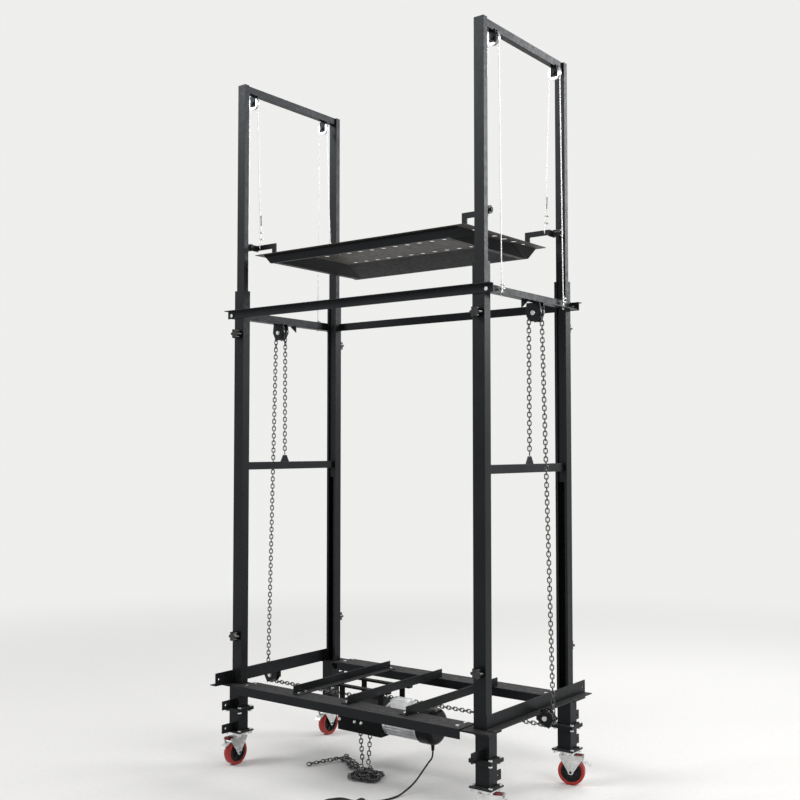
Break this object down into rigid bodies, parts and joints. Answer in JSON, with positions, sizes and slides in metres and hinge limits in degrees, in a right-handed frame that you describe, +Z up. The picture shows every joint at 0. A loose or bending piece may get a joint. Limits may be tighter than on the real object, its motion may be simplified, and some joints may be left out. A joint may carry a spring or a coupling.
{
  "type": "material hoist",
  "caption": "Free-standing electric platform hoist on braked casters: telescopic masts lifted by chain in slotted side frames, with a rope-doubled platform.",
  "frame": {"origin": "on the floor under the middle of the base", "axes": "+X along the length to the right, +Y to the back, +Z up"},
  "size_m": [1.6803, 1.1043, 3.4],
  "materials": {
    "frame_paint": "satin",
    "zinc": "satin",
    "wire_rope": "satin",
    "chain_steel": "satin",
    "motor_alloy": "satin",
    "cover_plastic": "gloss",
    "black_plastic": "matte",
    "red_tyre": "satin",
    "cord_rubber": "matte"
  },
  "bodies": {
    "frame": {"side_frame_left": "frame_paint", "side_frame_right": "frame_paint", "base_channel_front": "frame_paint", "base_channel_back": "frame_paint", "cross_angles": "frame_paint", "top_rail_front": "frame_paint", "top_rail_back": "frame_paint", "legs_left": "frame_paint", "legs_right": "frame_paint", "caster_top_plates": "zinc", "frame_bolts": "zinc", "hoist_case": "frame_paint", "hoist_motor": "motor_alloy", "hoist_fan_cover": "cover_plastic", "lift_chains": "chain_steel", "chain_heap": "chain_steel", "power_cord": "cord_rubber", "power_cord_coil": "cord_rubber", "power_plug": "cover_plastic"},
    "masts": {"mast_frame_left": "frame_paint", "mast_frame_right": "frame_paint", "anchor_chains": "chain_steel", "anchor_ropes": "wire_rope"},
    "platform": {"platform_tray": "frame_paint", "platform_brackets": "frame_paint", "platform_ropes": "wire_rope"},
    "chain_wheel_upper_left": {"chain_wheel_upper_left": "zinc"},
    "chain_wheel_lower_left": {"chain_wheel_lower_left": "zinc"},
    "chain_wheel_upper_right": {"chain_wheel_upper_right": "zinc"},
    "chain_wheel_lower_right": {"chain_wheel_lower_right": "zinc"},
    "drive_wheel_left": {"drive_wheel_left": "zinc"},
    "drive_wheel_right": {"drive_wheel_right": "zinc"},
    "rope_sheave_left_front": {"rope_sheave_left_front": "zinc"},
    "rope_sheave_left_back": {"rope_sheave_left_back": "zinc"},
    "rope_sheave_right_front": {"rope_sheave_right_front": "zinc"},
    "rope_sheave_right_back": {"rope_sheave_right_back": "zinc"},
    "guide_roller_left_front": {"guide_roller_left_front": "black_plastic"},
    "guide_roller_left_back": {"guide_roller_left_back": "black_plastic"},
    "guide_roller_right_front": {"guide_roller_right_front": "black_plastic"},
    "guide_roller_right_back": {"guide_roller_right_back": "black_plastic"},
    "caster_fork_left_front": {"caster_fork_left_front": "zinc"},
    "caster_wheel_left_front": {"caster_wheel_left_front": "red_tyre"},
    "brake_pedal_left_front": {"brake_pedal_left_front": "zinc"},
    "clamp_knob_left_front_upper": {"clamp_knob_left_front_upper": "black_plastic"},
    "clamp_knob_left_front_lower": {"clamp_knob_left_front_lower": "black_plastic"},
    "caster_fork_left_back": {"caster_fork_left_back": "zinc"},
    "caster_wheel_left_back": {"caster_wheel_left_back": "red_tyre"},
    "brake_pedal_left_back": {"brake_pedal_left_back": "zinc"},
    "clamp_knob_left_back_upper": {"clamp_knob_left_back_upper": "black_plastic"},
    "clamp_knob_left_back_lower": {"clamp_knob_left_back_lower": "black_plastic"},
    "caster_fork_right_front": {"caster_fork_right_front": "zinc"},
    "caster_wheel_right_front": {"caster_wheel_right_front": "red_tyre"},
    "brake_pedal_right_front": {"brake_pedal_right_front": "zinc"},
    "clamp_knob_right_front_upper": {"clamp_knob_right_front_upper": "black_plastic"},
    "clamp_knob_right_front_lower": {"clamp_knob_right_front_lower": "black_plastic"},
    "caster_fork_right_back": {"caster_fork_right_back": "zinc"},
    "caster_wheel_right_back": {"caster_wheel_right_back": "red_tyre"},
    "brake_pedal_right_back": {"brake_pedal_right_back": "zinc"},
    "clamp_knob_right_back_upper": {"clamp_knob_right_back_upper": "black_plastic"},
    "clamp_knob_right_back_lower": {"clamp_knob_right_back_lower": "black_plastic"}
  },
  "joints": [
    {"name": "mast_lift", "type": "slide", "parent": "frame", "child": "masts", "axis": [0, 0, 1], "range_m": [-1, 0.5], "deforming": ["anchor_chains", "anchor_ropes"]},
    {"name": "platform_lift", "type": "slide", "parent": "masts", "child": "platform", "axis": [0, 0, 1], "range_m": [-1, 0.5], "deforming": ["platform_ropes"]},
    {"name": "upper_wheel_left", "type": "hinge", "parent": "frame", "child": "chain_wheel_upper_left", "pos_m": [-0.748, -0.04, 2.165], "axis": [0, 1, 0], "range_deg": [-870, 1738]},
    {"name": "lower_wheel_left", "type": "hinge", "parent": "frame", "child": "chain_wheel_lower_left", "pos_m": [-0.795, -0.04, 0.375], "axis": [0, 1, 0], "range_deg": [-870, 1738]},
    {"name": "upper_wheel_right", "type": "hinge", "parent": "frame", "child": "chain_wheel_upper_right", "pos_m": [0.748, 0.04, 2.165], "axis": [0, 1, 0], "range_deg": [-1738, 870]},
    {"name": "lower_wheel_right", "type": "hinge", "parent": "frame", "child": "chain_wheel_lower_right", "pos_m": [0.795, 0.04, 0.375], "axis": [0, 1, 0], "range_deg": [-1738, 870]},
    {"name": "drive_left", "type": "hinge", "parent": "frame", "child": "drive_wheel_left", "pos_m": [-0.24, -0.04, 0.309], "axis": [0, 1, 0], "range_deg": [-1738, 870]},
    {"name": "drive_right", "type": "hinge", "parent": "frame", "child": "drive_wheel_right", "pos_m": [-0.16, 0.04, 0.309], "axis": [0, 1, 0], "range_deg": [-870, 1738]},
    {"name": "sheave_left_front", "type": "hinge", "parent": "masts", "child": "rope_sheave_left_front", "pos_m": [-0.7275, -0.27, 3.33], "axis": [0, 1, 0], "range_deg": [-1043, 2085]},
    {"name": "sheave_left_back", "type": "hinge", "parent": "masts", "child": "rope_sheave_left_back", "pos_m": [-0.7275, 0.27, 3.33], "axis": [0, 1, 0], "range_deg": [-1043, 2085]},
    {"name": "sheave_right_front", "type": "hinge", "parent": "masts", "child": "rope_sheave_right_front", "pos_m": [0.7275, -0.27, 3.33], "axis": [0, 1, 0], "range_deg": [-2085, 1043]},
    {"name": "sheave_right_back", "type": "hinge", "parent": "masts", "child": "rope_sheave_right_back", "pos_m": [0.7275, 0.27, 3.33], "axis": [0, 1, 0], "range_deg": [-2085, 1043]},
    {"name": "roller_left_front", "type": "hinge", "parent": "platform", "child": "guide_roller_left_front", "pos_m": [-0.7165, -0.31, 2.5755], "axis": [1, 0, 0], "continuous": true},
    {"name": "roller_left_back", "type": "hinge", "parent": "platform", "child": "guide_roller_left_back", "pos_m": [-0.7165, 0.31, 2.5755], "axis": [1, 0, 0], "continuous": true},
    {"name": "roller_right_front", "type": "hinge", "parent": "platform", "child": "guide_roller_right_front", "pos_m": [0.7165, -0.31, 2.5755], "axis": [1, 0, 0], "continuous": true},
    {"name": "roller_right_back", "type": "hinge", "parent": "platform", "child": "guide_roller_right_back", "pos_m": [0.7165, 0.31, 2.5755], "axis": [1, 0, 0], "continuous": true},
    {"name": "swivel_left_front", "type": "hinge", "parent": "frame", "child": "caster_fork_left_front", "pos_m": [-0.728, -0.348, 0.134], "axis": [0, 0, 1], "continuous": true},
    {"name": "roll_left_front", "type": "hinge", "parent": "caster_fork_left_front", "child": "caster_wheel_left_front", "pos_m": [-0.728, -0.368, 0.0625], "axis": [1, 0, 0], "continuous": true},
    {"name": "brake_left_front", "type": "hinge", "parent": "caster_fork_left_front", "child": "brake_pedal_left_front", "pos_m": [-0.728, -0.41, 0.118], "axis": [1, 0, 0], "range_deg": [0, 15]},
    {"name": "knob_left_front_upper", "type": "hinge", "parent": "frame", "child": "clamp_knob_left_front_upper", "pos_m": [-0.715, -0.376, 2.13], "axis": [0, 1, 0], "range_deg": [-360, 360]},
    {"name": "knob_left_front_lower", "type": "hinge", "parent": "frame", "child": "clamp_knob_left_front_lower", "pos_m": [-0.715, -0.376, 0.63], "axis": [0, 1, 0], "range_deg": [-360, 360]},
    {"name": "swivel_left_back", "type": "hinge", "parent": "frame", "child": "caster_fork_left_back", "pos_m": [-0.728, 0.348, 0.134], "axis": [0, 0, 1], "continuous": true},
    {"name": "roll_left_back", "type": "hinge", "parent": "caster_fork_left_back", "child": "caster_wheel_left_back", "pos_m": [-0.728, 0.328, 0.0625], "axis": [1, 0, 0], "continuous": true},
    {"name": "brake_left_back", "type": "hinge", "parent": "caster_fork_left_back", "child": "brake_pedal_left_back", "pos_m": [-0.728, 0.286, 0.118], "axis": [1, 0, 0], "range_deg": [0, 15]},
    {"name": "knob_left_back_upper", "type": "hinge", "parent": "frame", "child": "clamp_knob_left_back_upper", "pos_m": [-0.715, 0.376, 2.13], "axis": [0, 1, 0], "range_deg": [-360, 360]},
    {"name": "knob_left_back_lower", "type": "hinge", "parent": "frame", "child": "clamp_knob_left_back_lower", "pos_m": [-0.715, 0.376, 0.63], "axis": [0, 1, 0], "range_deg": [-360, 360]},
    {"name": "swivel_right_front", "type": "hinge", "parent": "frame", "child": "caster_fork_right_front", "pos_m": [0.728, -0.348, 0.134], "axis": [0, 0, 1], "continuous": true},
    {"name": "roll_right_front", "type": "hinge", "parent": "caster_fork_right_front", "child": "caster_wheel_right_front", "pos_m": [0.74713, -0.34215, 0.0625], "axis": [-0.2924, 0.9563, 0], "continuous": true},
    {"name": "brake_right_front", "type": "hinge", "parent": "caster_fork_right_front", "child": "brake_pedal_right_front", "pos_m": [0.78729, -0.32987, 0.118], "axis": [-0.2924, 0.9563, 0], "range_deg": [0, 15]},
    {"name": "knob_right_front_upper", "type": "hinge", "parent": "frame", "child": "clamp_knob_right_front_upper", "pos_m": [0.715, -0.376, 2.13], "axis": [0, 1, 0], "range_deg": [-360, 360]},
    {"name": "knob_right_front_lower", "type": "hinge", "parent": "frame", "child": "clamp_knob_right_front_lower", "pos_m": [0.715, -0.376, 0.63], "axis": [0, 1, 0], "range_deg": [-360, 360]},
    {"name": "swivel_right_back", "type": "hinge", "parent": "frame", "child": "caster_fork_right_back", "pos_m": [0.728, 0.348, 0.134], "axis": [0, 0, 1], "continuous": true},
    {"name": "roll_right_back", "type": "hinge", "parent": "caster_fork_right_back", "child": "caster_wheel_right_back", "pos_m": [0.74713, 0.35385, 0.0625], "axis": [-0.2924, 0.9563, 0], "continuous": true},
    {"name": "brake_right_back", "type": "hinge", "parent": "caster_fork_right_back", "child": "brake_pedal_right_back", "pos_m": [0.78729, 0.36613, 0.118], "axis": [-0.2924, 0.9563, 0], "range_deg": [0, 15]},
    {"name": "knob_right_back_upper", "type": "hinge", "parent": "frame", "child": "clamp_knob_right_back_upper", "pos_m": [0.715, 0.376, 2.13], "axis": [0, 1, 0], "range_deg": [-360, 360]},
    {"name": "knob_right_back_lower", "type": "hinge", "parent": "frame", "child": "clamp_knob_right_back_lower", "pos_m": [0.715, 0.376, 0.63], "axis": [0, 1, 0], "range_deg": [-360, 360]}
  ],
  "couplings": [
    {"joint": "platform_lift", "follows": "mast_lift", "ratio": 1},
    {"joint": "upper_wheel_left", "follows": "mast_lift", "rad_per_m": -30.303},
    {"joint": "lower_wheel_left", "follows": "mast_lift", "rad_per_m": -30.303},
    {"joint": "upper_wheel_right", "follows": "mast_lift", "rad_per_m": 30.303},
    {"joint": "lower_wheel_right", "follows": "mast_lift", "rad_per_m": 30.303},
    {"joint": "drive_left", "follows": "mast_lift", "rad_per_m": 30.303},
    {"joint": "drive_right", "follows": "mast_lift", "rad_per_m": -30.303},
    {"joint": "sheave_left_front", "follows": "mast_lift", "rad_per_m": -36.364},
    {"joint": "sheave_left_back", "follows": "mast_lift", "rad_per_m": -36.364},
    {"joint": "sheave_right_front", "follows": "mast_lift", "rad_per_m": 36.364},
    {"joint": "sheave_right_back", "follows": "mast_lift", "rad_per_m": 36.364}
  ]
}
